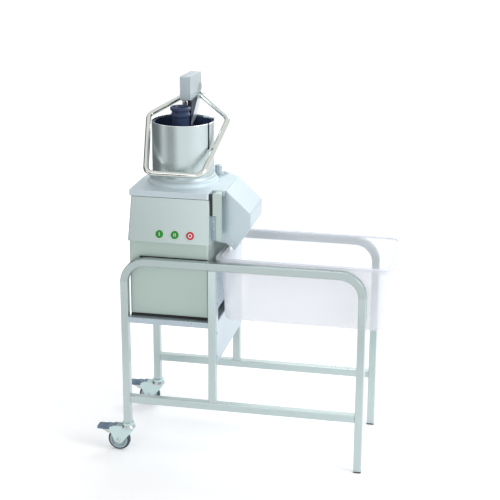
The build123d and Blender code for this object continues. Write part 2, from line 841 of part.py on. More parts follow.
with BuildPart() as lid_hinge_pin:
    with BuildSketch(side_on(AXIS_X - 80)):
        with Locations((HINGE_Y, LID_BOTTOM + 8)):
            Circle(AXLE_RADIUS)
    extrude(amount=160)
keep(lid_hinge_pin, "lid_hinge_pin")

with BuildPart() as hinge_brackets:
    with BuildSketch(side_on(AXIS_X)) as bracket_profile:
        with BuildLine():
            Polyline(
                (HOUSING_BACK - 10, 820),
                (HOUSING_BACK + 5, 820),
                (HINGE_Y + 8, 860),
                (HINGE_Y + 8, LID_BOTTOM + 8),
                (HINGE_Y - 7.5, LID_BOTTOM + 8),
                (HINGE_Y - 7.5, 866),
                (HOUSING_BACK - 10, 866),
                close=True,
            )
        make_face()
        with Locations((HINGE_Y, LID_BOTTOM + 8)):
            Circle(8)
            Circle(AXLE_RADIUS + RUNNING_GAP, mode=Mode.SUBTRACT)
    for bracket_x in (-44, 30):
        extrude(bracket_profile.sketch.moved(Location((bracket_x, 0, 0))), amount=14)
    add(upper_housing.part, mode=Mode.SUBTRACT)
keep(hinge_brackets, "hinge_brackets")

# Hopper: rolled stainless cylinder with its guide slot, cast collar at the foot
with BuildPart() as hopper:
    with BuildSketch(axis_level(LID_BOTTOM - 2)):
        Circle(HOPPER_RADIUS)
        Circle(HOPPER_RADIUS - HOPPER_WALL, mode=Mode.SUBTRACT)
    extrude(amount=HOPPER_TOP - LID_BOTTOM + 2)
    with BuildSketch(axis_level(SLOT_BOTTOM)):
        with PolarLocations(HOPPER_RADIUS, 1, start_angle=SLOT_ANGLE):
            Rectangle(12, SLOT_WIDTH)
    extrude(amount=HOPPER_TOP - SLOT_BOTTOM, mode=Mode.SUBTRACT)
keep(hopper, "hopper")

with BuildPart() as hopper_collar:
    with BuildSketch(front_on(0)):
        with BuildLine():
            Polyline(
                (AXIS_X + HOPPER_RADIUS, LID_TOP + 7),
                (AXIS_X + 110, LID_TOP + 7),
                (AXIS_X + 110, LID_TOP + 12),
                (AXIS_X + 106, LID_TOP + 16),
                (AXIS_X + 102, LID_TOP + 24),
                (AXIS_X + HOPPER_RADIUS, LID_TOP + 24),
                close=True,
            )
        make_face()
    revolve(axis=Axis((AXIS_X, 0, 0), (0, 0, 1)))
keep(hopper_collar, "hopper_collar")

# Clamp on the lid that holds the collar down: plate, screw post and knob
with BuildPart() as collar_clamp:
    with BuildSketch(level(LID_TOP)):
        with BuildLine():
            Polyline(
                (KNOB_X - 12, KNOB_Y - 14),
                (KNOB_X + 10, KNOB_Y - 12),
                (KNOB_X + 26, KNOB_Y + 38),
                (KNOB_X + 10, KNOB_Y + 44),
                (KNOB_X - 14, KNOB_Y + 14),
                close=True,
            )
        make_face()
    extrude(amount=6)
    fillet(collar_clamp.edges().filter_by(Axis.Z), 5)
    with BuildSketch(axis_level(LID_TOP)):
        Circle(117.2)
    extrude(amount=8, mode=Mode.SUBTRACT)
    with BuildSketch(level(LID_TOP + 6, KNOB_X, KNOB_Y)):
        Circle(7)
    extrude(amount=KNOB_BOTTOM - LID_TOP - 6)
    with BuildSketch(level(KNOB_BOTTOM, KNOB_X, KNOB_Y)):
        Circle(4)
    extrude(amount=21)
keep(collar_clamp, "collar_clamp")

with BuildPart() as collar_knob:
    knob_base = level(KNOB_BOTTOM + 0.3, KNOB_X, KNOB_Y)
    with BuildSketch(knob_base):
        Circle(KNOB_RADIUS)
    extrude(amount=28)
    fillet(collar_knob.edges().group_by(Axis.Z)[-1], 3)
    with BuildSketch(knob_base):
        with PolarLocations(KNOB_RADIUS + 3, 8):
            Circle(4)
    extrude(amount=28, mode=Mode.SUBTRACT)
    with BuildSketch(knob_base):
        Circle(4 + RUNNING_GAP)
    extrude(amount=22, mode=Mode.SUBTRACT)
keep(collar_knob, "collar_knob")

# Guide column: sleeve on the lid, rod in the head
with BuildPart() as guide_sleeve:
    with BuildSketch(level(LID_TOP, AXIS_X, COLUMN_Y)):
        Circle(SLEEVE_RADIUS)
        Circle(ROD_RADIUS + RUNNING_GAP, mode=Mode.SUBTRACT)
    extrude(amount=SLEEVE_TOP - LID_TOP)
    chamfer(guide_sleeve.edges().group_by(Axis.Z)[-1], 1)
keep(guide_sleeve, "guide_sleeve")

with BuildPart() as guide_rod:
    with BuildSketch(level(LID_TOP + 4, AXIS_X, COLUMN_Y)):
        Circle(ROD_RADIUS)
    extrude(amount=HEAD_TOP - 14 - LID_TOP - 4)
    chamfer(guide_rod.edges().group_by(Axis.Z)[0], 1.5)
keep(guide_rod, "guide_rod")

# Lever head: cast box over the column, with a socket on each side for the handle loop
loop_plane = Plane(
    origin=(AXIS_X, LOOP_Y, LOOP_Z),
    x_dir=(1, 0, 0),
    z_dir=(0, -sin(LOOP_SLOPE), cos(LOOP_SLOPE)),
)
loop_end = (28.0, -4.0)
loop_corner = (133.0, -99.0)
link_slot = Location((153, 1157.5), 42)
with BuildPart() as lever_head:
    with BuildSketch(side_on(AXIS_X - HEAD_WIDTH / 2)):
        with BuildLine():
            Polyline(
                (HEAD_FRONT, HEAD_BOTTOM),
                (HEAD_FRONT, HEAD_TOP),
                (HEAD_BACK, HEAD_TOP - 8),
                (HEAD_BACK, HEAD_BOTTOM + 9),
                (HEAD_BACK - 11, HEAD_BOTTOM),
                close=True,
            )
        make_face()
    extrude(amount=HEAD_WIDTH)
    fillet(lever_head.edges().filter_by(Axis.X), 2.5)
    for side in (-1, 1):
        outer = Vector(side * loop_end[0], loop_end[1], 0)
        inward = Vector(side * (loop_end[0] - loop_corner[0]), loop_end[1] - loop_corner[1], 0)
        socket = Plane(
            origin=loop_plane.from_local_coords(outer),
            z_dir=loop_plane.from_local_coords(outer + inward) - loop_plane.from_local_coords(outer),
        )
        with BuildSketch(socket):
            Circle(LOOP_TUBE + 2.5)
        extrude(amount=20)
    # screw in the rear face and slot in the right-hand face
    with BuildSketch(front_on(HEAD_BACK - 5)):
        with Locations((AXIS_X + 11, HEAD_BOTTOM + 17)):
            Circle(4.5)
    extrude(amount=-16)
    with BuildSketch(side_on(AXIS_X + HEAD_WIDTH / 2 - 6)):
        with Locations(link_slot):
            SlotOverall(34, 5)
    extrude(amount=8, mode=Mode.SUBTRACT)
    with BuildSketch(level(HEAD_BOTTOM - 30, AXIS_X, COLUMN_Y)):
        Circle(SLEEVE_RADIUS + 0.6)
    extrude(amount=SLEEVE_TOP + 1 - HEAD_BOTTOM + 30, mode=Mode.SUBTRACT)
    with BuildSketch(level(SLEEVE_TOP + 1, AXIS_X, COLUMN_Y)):
        Circle(ROD_RADIUS)
    extrude(amount=HEAD_TOP - 14 - SLEEVE_TOP - 1, mode=Mode.SUBTRACT)
keep(lever_head, "lever_head")

# Handle: one bent stainless tube round the hopper, both ends in the head's sockets
loop_half = (loop_end, loop_corner, (91.0, -342.8))
loop_points = [(-x, y) for x, y in loop_half] + [(x, y) for x, y in reversed(loop_half)]
with BuildPart() as handle_loop:
    with BuildLine(loop_plane) as loop_path:
        FilletPolyline(*loop_points, radius=30)
    start = loop_path.wires()[0]
    with BuildSketch(Plane(origin=start @ 0, z_dir=start % 0)):
        Circle(LOOP_TUBE)
    sweep(path=start)
keep(handle_loop, "handle_loop")

# Pusher: cup in the hopper, feed tube for long produce, stem, web and strap to the head
with BuildPart() as pusher_cup:
    with BuildSketch(axis_level(CUP_BOTTOM)):
        Circle(CUP_RADIUS)
    extrude(amount=CUP_TOP - CUP_BOTTOM)
    with BuildSketch(axis_level(CUP_BOTTOM + 6)):
        Circle(CUP_RADIUS - 4)
    extrude(amount=CUP_TOP - CUP_BOTTOM - 6, mode=Mode.SUBTRACT)
    with BuildSketch(axis_level(CUP_BOTTOM + 6)):
        with PolarLocations(62, 6, start_angle=30):
            Rectangle(56, 3)
    extrude(amount=16)
    with BuildSketch(level(CUP_BOTTOM, FEED_TUBE_X, 0)):
        Circle(FEED_TUBE_RADIUS)
    extrude(amount=30, mode=Mode.SUBTRACT)
    with BuildSketch(axis_level(1040)):
        with PolarLocations(CUP_RADIUS + 1.8, 1, start_angle=SLOT_ANGLE):
            Rectangle(4.4, SLOT_WIDTH - 1.4)
    extrude(amount=30)
    with BuildSketch(level(CUP_BOTTOM + 6, AXIS_X, 46)):
        Circle(13)
    extrude(amount=30, mode=Mode.SUBTRACT)
keep(pusher_cup, "pusher_cup")

with BuildPart() as feed_tube:
    with BuildSketch(front_on(0)):
        with BuildLine():
            x0 = FEED_TUBE_X
            Polyline(
                (x0 + FEED_BORE, CUP_BOTTOM),
                (x0 + FEED_TUBE_RADIUS, CUP_BOTTOM),
                (x0 + FEED_TUBE_RADIUS, 1096),
                (x0 + 31, 1100),
                (x0 + 31, 1106),
                (x0 + 28, 1110),
                (x0 + 28, 1116),
                (x0 + 33, 1120),
                (x0 + 33, FEED_TUBE_TOP - 3),
                (x0 + 30, FEED_TUBE_TOP),
                (x0 + 27, FEED_TUBE_TOP),
                (x0 + FEED_BORE, FEED_TUBE_TOP - 8),
                close=True,
            )
        make_face()
    revolve(axis=Axis((FEED_TUBE_X, 0, 0), (0, 0, 1)))
keep(feed_tube, "feed_tube")

with BuildPart() as pusher_stem:
    with BuildSketch(level(CUP_BOTTOM + 6, AXIS_X, 46)):
        Circle(13)
    extrude(amount=HEAD_BOTTOM - CUP_BOTTOM - 6)
keep(pusher_stem, "pusher_stem")

with BuildPart() as head_web:
    with BuildSketch(side_on(AXIS_X + 13)):
        with BuildLine():
            Polyline(
                (HEAD_FRONT + 2, HEAD_BOTTOM),
                (HEAD_FRONT + 97, HEAD_BOTTOM),
                (69.5, 1091),
                (37, 1060),
                (22, 1056),
                (22, 1078),
                close=True,
            )
        make_face()
    extrude(amount=8)
keep(head_web, "head_web")

# Slotted link on the right-hand face of the head
with BuildPart() as pusher_strap:
    with BuildSketch(side_on(AXIS_X + HEAD_WIDTH / 2)):
        with BuildLine():
            Polyline((100, 1118), (108, 1109), (174, 1168.5), (166, 1177.5), close=True)
        make_face()
        with Locations(link_slot):
            SlotOverall(34, 5, mode=Mode.SUBTRACT)
    extrude(amount=4)
    add(lever_head.part, mode=Mode.SUBTRACT)
keep(pusher_strap, "pusher_strap")

# Tub: moulded container whose rim lies on the two top rails
tub_x = TUB_LEFT + TUB_LENGTH / 2
tub_lip = 9.0
with BuildPart() as tub_hollow:
    with BuildSketch(level(TUB_TOP, tub_x, 0)):
        RectangleRounded(
            TUB_LENGTH - 2 * TUB_RIM - 2 * TUB_WALL, TUB_WIDTH - 2 * TUB_RIM - 2 * TUB_WALL, 35
        )
    extrude(amount=-(TUB_DEPTH - TUB_WALL), taper=TUB_TAPER)
    fillet(tub_hollow.edges().group_by(Axis.Z)[0], 11)

with BuildPart() as tub:
    with BuildSketch(level(TUB_TOP, tub_x, 0)):
        RectangleRounded(TUB_LENGTH - 2 * TUB_RIM, TUB_WIDTH - 2 * TUB_RIM, 38)
    extrude(amount=-TUB_DEPTH, taper=TUB_TAPER)
    fillet(tub.edges().group_by(Axis.Z)[0], 14)
    with BuildSketch(level(TUB_TOP, tub_x, 0)):
        RectangleRounded(TUB_LENGTH, TUB_WIDTH, 30)
    extrude(amount=-tub_lip)
    # hollow under the down-turned lip
    with BuildSketch(level(TUB_TOP - tub_lip, tub_x, 0)):
        RectangleRounded(TUB_LENGTH - 2 * TUB_WALL, TUB_WIDTH - 2 * TUB_WALL, 28)
        RectangleRounded(TUB_LENGTH - 2 * TUB_RIM + 1, TUB_WIDTH - 2 * TUB_RIM + 1, 38, mode=Mode.SUBTRACT)
    extrude(amount=tub_lip - TUB_WALL, mode=Mode.SUBTRACT)
    add(tub_hollow.part, mode=Mode.SUBTRACT)
keep(tub, "tub")

for piece in pieces:
    export_step(piece, f"parts/{piece.label}.step")
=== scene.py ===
"""Finish, light and camera for the vegetable cutting machine on its tube stand.

The scene is in metres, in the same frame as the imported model: +Z up, the buttons face -Y, the tub
is at +X. Places and sizes of the added pieces are written in millimetres.
"""
import json
import math

import bmesh
import bpy
from mathutils import Matrix, Vector


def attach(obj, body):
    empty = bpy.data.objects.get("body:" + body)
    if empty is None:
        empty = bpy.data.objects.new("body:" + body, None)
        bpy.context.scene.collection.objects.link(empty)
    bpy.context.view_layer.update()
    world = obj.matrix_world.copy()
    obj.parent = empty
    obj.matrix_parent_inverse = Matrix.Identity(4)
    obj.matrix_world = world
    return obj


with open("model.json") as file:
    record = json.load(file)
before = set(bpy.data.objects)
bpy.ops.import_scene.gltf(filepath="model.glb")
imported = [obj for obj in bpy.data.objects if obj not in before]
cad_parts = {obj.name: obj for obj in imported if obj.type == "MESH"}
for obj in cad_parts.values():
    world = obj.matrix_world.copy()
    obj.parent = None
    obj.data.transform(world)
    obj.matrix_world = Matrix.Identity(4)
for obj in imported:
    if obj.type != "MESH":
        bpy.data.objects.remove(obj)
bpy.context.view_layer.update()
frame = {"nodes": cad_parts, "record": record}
MM = 0.001
IN_MM = Matrix.Scale(MM, 4)

# Directions
LEFTWARDS, RIGHTWARDS = (-1, 0, 0), (1, 0, 0)
FORWARDS, BACKWARDS = (0, -1, 0), (0, 1, 0)
UPWARDS = (0, 0, 1)

# Places on the machine that the added pieces follow
AXIS_X = -226.0
LEG_Y = 185.5
SIDES = (("front", -LEG_Y), ("rear", LEG_Y))
LEFT_LEG_FACE, RIGHT_LEG_FACE = -364.0, 376.0
POST_X = -88.5
LOWER_RAIL_MIDDLE, LOWER_RAIL_TOP, RAIL_UNDERSIDE = 187.5, 200.0, 651.0
HOUSING_LEFT, HOUSING_RIGHT = -357.5, -104.2
HOUSING_FRONT, HOUSING_BACK = -193.0, 150.0
HOUSING_BOTTOM, HOUSING_TOP = 733.0, 869.0
HOUSING_CORNER = 122.0
PANEL_SETBACK = 35.6
HOPPER_RADIUS = 100.0
HOPPER_TOP = 1086.0
SLOT_TURN, SLOT_HALF = -22.0, 2.5
SLOT_BOTTOM = 1003.0
COLUMN_Y = 130.0
CASTER_X = -376.5
WHEEL_X, WHEEL_Z = CASTER_X - 31.5, 37.5
PEDAL_X = CASTER_X - 43.5
TUB_MIDDLE, TUB_LENGTH, TUB_WIDTH, TUB_TOP = 198.0, 564.0, 359.0, 685.3


class Socket:
    """A node's output, so that shader maths reads as plain arithmetic."""

    def __init__(self, shading, output):
        self.shading = shading
        self.output = output

    def maths(self, operation, first, second):
        return self.shading.node("ShaderNodeMath", {"operation": operation}, [first, second])

    def __add__(self, other):
        return self.maths("ADD", self, other)

    def __radd__(self, other):
        return self.maths("ADD", other, self)

    def __mul__(self, other):
        return self.maths("MULTIPLY", self, other)

    def __rmul__(self, other):
        return self.maths("MULTIPLY", other, self)


class Shading:
    """The nodes of a material or of the world, round one shader."""

    def __init__(self, tree, shader):
        self.nodes = tree.nodes
        self.links = tree.links
        self.shader = tree.nodes[shader]

    def put(self, socket, value):
        """Sets a socket of the shader, or links it."""
        self.fill(self.shader.inputs[socket], value)

    def fill(self, socket, value):
        if isinstance(value, Socket):
            self.links.new(value.output, socket)
        else:
            socket.default_value = value

    def node(self, kind, settings=None, inputs=(), output=0):
        """Adds a node: its settings first, then the values or links of its sockets."""
        made = self.nodes.new(kind)
        for key, value in (settings or {}).items():
            setattr(made, key, value)
        pairs = inputs.items() if isinstance(inputs, dict) else enumerate(inputs)
        for key, value in pairs:
            self.fill(made.inputs[key], value)
        return Socket(self, made.outputs[output])

    def seen_rays(self):
        """1 on rays from the camera, a reflection or a clear wall, 0 on rays that only light."""
        camera_ray, glossy_ray, clear_ray = (
            self.node("ShaderNodeLightPath", output=f"Is {kind} Ray")
            for kind in ("Camera", "Glossy", "Transmission")
        )
        return camera_ray + glossy_ray + clear_ray


class Finish(Shading):
    """A material built round one Principled shader."""

    def __init__(self, name, color, roughness, metallic=0.0, **fixed):
        self.material = bpy.data.materials.new(name)
        self.material.use_nodes = True
        self.material.diffuse_color = (*color, 1)
        super().__init__(self.material.node_tree, "Principled BSDF")
        self.put("Base Color", (*color, 1))
        self.put("Roughness", roughness)
        self.put("Metallic", metallic)
        for socket, value in fixed.items():
            self.put(socket.replace("_", " "), value)

    def place(self, stretch=(1, 1, 1)):
        """The point on the piece, stretched along the piece's own axes."""
        point = self.node("ShaderNodeTexCoord", output="Object")
        return self.node("ShaderNodeMapping", inputs={"Vector": point, "Scale": stretch})

    def noise(self, scale, detail=2.0, stretch=(1, 1, 1)):
        return self.node(
            "ShaderNodeTexNoise",
            inputs={"Vector": self.place(stretch), "Scale": scale, "Detail": detail},
        )

    def edges(self, width):
        """1 on edges that wear bright, 0 on flat ground, from the surface's pointiness."""
        point = self.node("ShaderNodeNewGeometry", output="Pointiness")
        return self.node(
            "ShaderNodeMapRange",
            inputs={"Value": point, "From Min": 0.5 + 0.3 * width, "From Max": 0.5 + width},
        )

    def between(self, mask, low, high):
        """A colour that goes from low to high with the mask."""
        low = low if isinstance(low, Socket) else (*low, 1)
        high = high if isinstance(high, Socket) else (*high, 1)
        return self.node(
            "ShaderNodeMix", {"data_type": "RGBA"}, {0: mask, 6: low, 7: high}, output=2
        )

    def bump(self, height, depth, strength=0.3):
        """Relief of the given depth in metres."""
        normal = self.node(
            "ShaderNodeBump",
            inputs={"Strength": strength, "Distance": depth, "Height": height},
        )
        self.put("Normal", normal)
        return self


def tone(color, factor):
    return tuple(min(1.0, part * factor) for part in color)


def satin_steel(name, color, roughness, grain=(1, 1, 60), metallic=0.75):
    """Brushed stainless steel: fine grain lines across the given axis and faint cloudiness."""
    steel = Finish(name, color, roughness, metallic)
    lines = steel.noise(90, 3, grain)
    clouds = steel.noise(5, 2)
    ground = steel.between(clouds, tone(color, 0.94), tone(color, 1.05))
    steel.put("Base Color", steel.between(steel.edges(0.08), ground, tone(color, 1.3)))
    steel.put("Roughness", lines * 0.14 + clouds * 0.1 + (roughness - 0.12))
    return steel.bump(lines, 0.00006, 0.2)


def bright_steel(name, color, roughness, metallic=1.0):
    """Polished steel without grain, faintly clouded."""
    steel = Finish(name, color, roughness, metallic)
    clouds = steel.noise(9, 3)
    steel.put("Base Color", steel.between(clouds, tone(color, 0.93), tone(color, 1.04)))
    steel.put("Roughness", clouds * 0.1 + (roughness - 0.05))
    return steel


def cast_metal(name, color, roughness, metallic):
    """Sand-blasted light alloy: fine grain, soft sheen, edges worn a little brighter."""
    cast = Finish(name, color, roughness, metallic)
    grain = cast.noise(900, 2)
    clouds = cast.noise(7, 3)
    ground = cast.between(clouds, tone(color, 0.96), tone(color, 1.03))
    cast.put("Base Color", cast.between(cast.edges(0.1), ground, tone(color, 1.25)))
    cast.put("Roughness", grain * 0.12 + (roughness - 0.06))
    return cast.bump(grain, 0.0001, 0.18)


def moulded(name, color, roughness, depth=0.00008, **fixed):
    """Moulded plastic or rubber with a fine leather-like grain."""
    plastic = Finish(name, color, roughness, 0.0, **fixed)
    grain = plastic.noise(700, 2)
    clouds = plastic.noise(12, 2)
    plastic.put("Base Color", plastic.between(clouds, tone(color, 0.88), tone(color, 1.1)))
    plastic.put("Roughness", grain * 0.14 + (roughness - 0.07))
    return plastic.bump(grain, depth, 0.3)


def milky_plastic(name, color):
    """Thin translucent polypropylene, a little hazier in patches."""
    milky = Finish(name, color, 0.4, 0.0, Specular_IOR_Level=0.3)
    haze = milky.noise(6, 1)
    milky.put("Alpha", haze * 0.04 + 0.32)
    milky.put("Roughness", haze * 0.12 + 0.32)
    return milky


# Grain along each direction of brushing
ALONG_X, ALONG_Y, ALONG_LEVEL = (60, 1, 1), (1, 60, 1), (1, 1, 0.02)

# Gloss of moulded plastic that is duller than a plain one
DULL, SATIN = {"Specular_IOR_Level": 0.15}, {"Specular_IOR_Level": 0.3}

# Finishes by the slots of the record
finishes = {
    "stand_tube": satin_steel("stand_tube", (0.42, 0.49, 0.485), 0.3),
    "stainless_sheet": satin_steel("stainless_sheet", (0.36, 0.435, 0.4), 0.42, ALONG_X, 0.6),
    "hopper_steel": satin_steel("hopper_steel", (0.4, 0.455, 0.46), 0.36, ALONG_LEVEL, 0.9),
    "polished_tube": bright_steel("polished_tube", (0.66, 0.68, 0.64), 0.1),
    "zinc_plated": bright_steel("zinc_plated", (0.66, 0.82, 0.82), 0.3, 0.6),
    "blade_steel": bright_steel("blade_steel", (0.75, 0.76, 0.77), 0.18),
    "housing_alloy": cast_metal("housing_alloy", (0.39, 0.46, 0.45), 0.4, 0.5),
    "button_trim": moulded("button_trim", (0.6, 0.72, 0.62), 0.35, 0.00004, Coat_Weight=0.2),
    "cast_alloy": cast_metal("cast_alloy", (0.45, 0.525, 0.56), 0.4, 0.5),
    "motor_iron": cast_metal("motor_iron", (0.16, 0.17, 0.19), 0.6, 0.3),
    "navy_plastic": moulded("navy_plastic", (0.036, 0.058, 0.125), 0.35, 0.00006, **SATIN),
    "black_plastic": moulded("black_plastic", (0.015, 0.016, 0.018), 0.45),
    "knob_plastic": cast_metal("knob_plastic", (0.4, 0.46, 0.5), 0.3, 0.85),
    "green_button": moulded("green_button", (0.03, 0.29, 0.045), 0.4, 0.00004, **DULL),
    "red_button": moulded("red_button", (0.65, 0.02, 0.07), 0.4, 0.00004, **DULL),
    "clear_plastic": milky_plastic("clear_plastic", (0.93, 0.945, 0.985)),
    "wheel_plastic": moulded("wheel_plastic", (0.5, 0.6, 0.63), 0.35),
    "tread_rubber": moulded("tread_rubber", (0.045, 0.07, 0.095), 0.55, 0.0002),
    "pedal_plastic": moulded("pedal_plastic", (0.16, 0.23, 0.31), 0.45),
    "foot_rubber": moulded("foot_rubber", (0.012, 0.012, 0.012), 0.7, 0.0002),
}
mark_white = moulded("mark_white", (0.86, 0.92, 0.84), 0.4)
rim_steel = bright_steel("rim_steel", (0.8, 0.82, 0.82), 0.18)
weld_steel = bright_steel("weld_steel", (0.42, 0.44, 0.42), 0.38, 0.85)
screw_steel = bright_steel("screw_steel", (0.6, 0.62, 0.62), 0.24, 0.9)
pale_sheet = satin_steel("pale_sheet", (0.39, 0.455, 0.5), 0.3, ALONG_Y, 0.7)
rim_plastic = moulded("rim_plastic", (0.74, 0.79, 0.89), 0.4, **SATIN)
stay_sheet = satin_steel("stay_sheet", (0.5, 0.57, 0.63), 0.3, ALONG_Y, 0.7)

# Pieces whose sheet or casting is finished unlike the rest of their slot, and the head's web,
# painted near black as shade
own_finishes = {
    "side_plate": pale_sheet,
    "machine_shelf": pale_sheet,
    "lid": satin_steel("lid_alloy", (0.62, 0.72, 0.765), 0.5, (1, 40, 1), 0.15),
    "hopper_collar": satin_steel("collar_alloy", (0.52, 0.6, 0.63), 0.5, (1, 1, 40), 0.4),
    "latch_lever": cast_metal("lever_steel", (0.4, 0.48, 0.46), 0.4, 0.5),
    "latch_bracket": cast_metal("bracket_steel", (0.3, 0.37, 0.42), 0.4, 0.5),
    # The head's web: near black, painted shade of the web's shaded side
    "head_web": moulded("painted_shade_web", (0.008, 0.012, 0.03), 0.45, Specular_IOR_Level=0.2),
    "lever_head": cast_metal("head_alloy", (0.4, 0.465, 0.49), 0.36, 0.8),
}

for part in frame["record"]["subparts"]:
    node = frame["nodes"][part["node"]]
    finish = own_finishes.get(part["node"]) or finishes[part["material_slot"]]
    node.data.materials.clear()
    node.data.materials.append(finish.material)


def in_scene(name, data):
    """Puts a mesh, lamp or camera into the scene as an object."""
    thing = bpy.data.objects.new(name, data)
    bpy.context.scene.collection.objects.link(thing)
    return thing


def new_piece(name, mesh, body, slot, finish=None):
    """A mesh riding on a body, in the finish of its slot unless another is given."""
    piece = in_scene(name, mesh)
    mesh.materials.append((finish or finishes[slot]).material)
    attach(piece, body)
    return piece


def shaped_piece(name, shape, body, slot, finish=None):
    """The same from a bmesh."""
    bmesh.ops.recalc_face_normals(shape, faces=shape.faces)
    mesh = bpy.data.meshes.new(name)
    shape.to_mesh(mesh)
    shape.free()
    return new_piece(name, mesh, body, slot, finish)


def at(x, y, z, axis=UPWARDS):
    """Placement in millimetres at a point, with local Z along the axis."""
    turn = Vector(axis).to_track_quat("Z", "Y").to_matrix().to_4x4()
    return IN_MM @ Matrix.Translation((x, y, z)) @ turn


def prism(shape, outline, matrix, thickness):
    """Adds a flat outline of (x, y) points, raised along its plane's normal."""
    low = [shape.verts.new(matrix @ Vector((x, y, 0))) for x, y in outline]
    high = [shape.verts.new(matrix @ Vector((x, y, thickness))) for x, y in outline]
    shape.faces.new(list(reversed(low)))
    shape.faces.new(high)
    count = len(outline)
    for i in range(count):
        j = (i + 1) % count
        shape.faces.new((low[i], low[j], high[j], high[i]))


def skin(shape, rings, closed=False):
    """Joins rings of vertices of equal length into a tube of faces."""
    following = rings[1:] + rings[:1] if closed else rings[1:]
    for ring, after in zip(rings, following):
        for i in range(len(ring)):
            j = (i + 1) % len(ring)
            shape.faces.new((ring[i], ring[j], after[j], after[i]))


def hexagon(apothem):
    """Radius of a hexagon by angle."""
    return lambda angle: apothem / math.cos((angle + math.pi / 6) % (math.pi / 3) - math.pi / 6)


def turned(shape, profile, matrix, steps=24, closed=False):
    """Adds a shape turned round local Z from (radius, height) points.

    A radius may go by angle. A closed profile makes a ring, an open one a plug with flat ends.
    """
    rings = []
    for radius, height in profile:
        ring = []
        for step in range(steps):
            angle = math.tau * step / steps
            reach = radius(angle) if callable(radius) else radius
            point = Vector((reach * math.cos(angle), reach * math.sin(angle), height))
            ring.append(shape.verts.new(matrix @ point))
        rings.append(ring)
    skin(shape, rings, closed)
    if not closed:
        shape.faces.new(rings[-1])
        shape.faces.new(list(reversed(rings[0])))


def rounded_bar(width, height, steps=6):
    """Outline of an upright bar with round ends."""
    radius = width / 2
    points = []
    for centre, start in ((height / 2 - radius, 0.0), (-(height / 2 - radius), math.pi)):
        for step in range(steps + 1):
            angle = start + math.pi * step / steps
            points.append((radius * math.cos(angle), centre + radius * math.sin(angle)))
    return points


def rounded_box(width, height, radius, steps=4):
    """Outline of a rectangle with round corners, about its centre."""
    points = []
    for quarter, (side, up) in enumerate(((1, 1), (-1, 1), (-1, -1), (1, -1))):
        for step in range(steps + 1):
            angle = math.pi / 2 * (quarter + step / steps)
            points.append((
                side * (width / 2 - radius) + radius * math.cos(angle),
                up * (height / 2 - radius) + radius * math.sin(angle),
            ))
    return points


def plate(name, outline, matrix, thickness, body, slot, finish=None):
    """A flat piece of the given outline and thickness."""
    shape = bmesh.new()
    prism(shape, outline, matrix, thickness)
    return shaped_piece(name, shape, body, slot, finish)


def turned_piece(name, profile, matrix, steps, body, slot, finish, closed=True):
    """A piece turned round one axis."""
    shape = bmesh.new()
    turned(shape, profile, matrix, steps, closed)
    return shaped_piece(name, shape, body, slot, finish)


def cap_screws(name, places, axis, radius, height, body):
    """Socket-head screws at the places, heads standing along the axis."""
    shape = bmesh.new()
    profile = (
        (radius, 0),
        (radius, height - 0.5),
        (radius - 0.5, height),
        (hexagon(radius * 0.5), height),
        (hexagon(radius * 0.5), height * 0.45),
    )
    for place in places:
        turned(shape, profile, at(*place, axis))
    return shaped_piece(name, shape, body, "zinc_plated", screw_steel)


def wire(name, points, radius, body, slot, finish=None, closed=False):
    """A round bead or wire along points in millimetres."""
    curve = bpy.data.curves.new(name, "CURVE")
    curve.dimensions = "3D"
    curve.bevel_depth = radius * MM
    curve.bevel_resolution = 3
    curve.use_fill_caps = True
    spline = curve.splines.new("POLY")
    spline.points.add(len(points) - 1)
    for point, place in zip(spline.points, points):
        point.co = (*(value * MM for value in place), 1)
    spline.use_cyclic_u = closed
    draft = bpy.data.objects.new(name, curve)
    mesh = bpy.data.meshes.new_from_object(draft)
    bpy.data.objects.remove(draft)
    mesh.name = name
    for face in mesh.polygons:
        face.use_smooth = True
    return new_piece(name, mesh, body, slot, finish)


# Signs on the three buttons: one bar, two bars and a ring
PANEL_ANGLE = math.atan2(PANEL_SETBACK, HOUSING_TOP - HOUSING_BOTTOM)
PANEL_UP = Vector((0, math.sin(PANEL_ANGLE), math.cos(PANEL_ANGLE)))
PANEL_OUT = Vector((0, -math.cos(PANEL_ANGLE), math.sin(PANEL_ANGLE)))
BUTTON_RISE = 26.7
BUTTON_FACE = 1.55
SIGN_LIFT = 0.3
BAR_WIDTH, BAR_HEIGHT = 2.0, 11.0
RING_INNER, RING_OUTER = 4.1, 6.9


def on_panel(x, rise, lift):
    """Placement on the sloping panel: x along it, rise up its slope, lift out of it."""
    origin = Vector((x, HOUSING_FRONT, HOUSING_BOTTOM)) + PANEL_UP * rise + PANEL_OUT * lift
    turn = Matrix((Vector((1, 0, 0)), PANEL_UP, PANEL_OUT)).transposed()
    return IN_MM @ Matrix.Translation(origin) @ turn.to_4x4()


def button_sign(name, body, slot, x, bars):
    """Bars at the given offsets from the button's centre, or a ring where there are none."""
    shape = bmesh.new()
    face = on_panel(x, BUTTON_RISE, BUTTON_FACE)
    for offset in bars:
        bar_seat = face @ Matrix.Translation((offset, 0, 0))
        prism(shape, rounded_bar(BAR_WIDTH, BAR_HEIGHT), bar_seat, SIGN_LIFT)
    if not bars:
        ring = (
            (RING_INNER, 0), (RING_INNER, SIGN_LIFT), (RING_OUTER, SIGN_LIFT), (RING_OUTER, 0)
        )
        turned(shape, ring, face, 40, closed=True)
    return shaped_piece(name, shape, body, slot, mark_white)


button_sign("start_1_sign", "start_1", "green_button", -258.5, (0.0,))
button_sign("start_2_sign", "start_2", "green_button", -208.7, (-2.4, 2.4))
button_sign("stop_sign", "stop", "red_button", -159.0, ())


